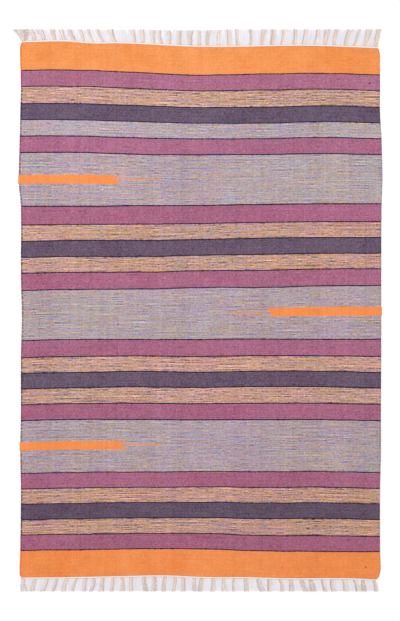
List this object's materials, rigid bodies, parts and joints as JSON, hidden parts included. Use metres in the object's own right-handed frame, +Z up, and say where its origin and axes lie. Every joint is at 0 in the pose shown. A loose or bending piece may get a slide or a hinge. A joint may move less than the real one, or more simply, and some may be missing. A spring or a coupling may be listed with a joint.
{
  "type": "kilim rug",
  "caption": "Flat-woven cotton rug with bands across its width and a tasselled fringe along each short end, lying flat on the floor.",
  "frame": {"origin": "middle of the rug's underside, on the floor it lies on", "axes": "+X across the rug from its left selvedge to its right one, +Y along its length, +Z up off the floor"},
  "size_m": [1.227, 1.87, 0.004],
  "materials": {
    "striped_cotton": "weft-faced plain weave in bands of orange, pink, violet, plum and streaked melange yarns, matt",
    "natural_yarn": "loose unbleached cotton yarn, matt"
  },
  "bodies": {
    "root": {"cloth": "striped_cotton", "fringe_far": "natural_yarn", "fringe_near": "natural_yarn"}
  },
  "joints": []
}
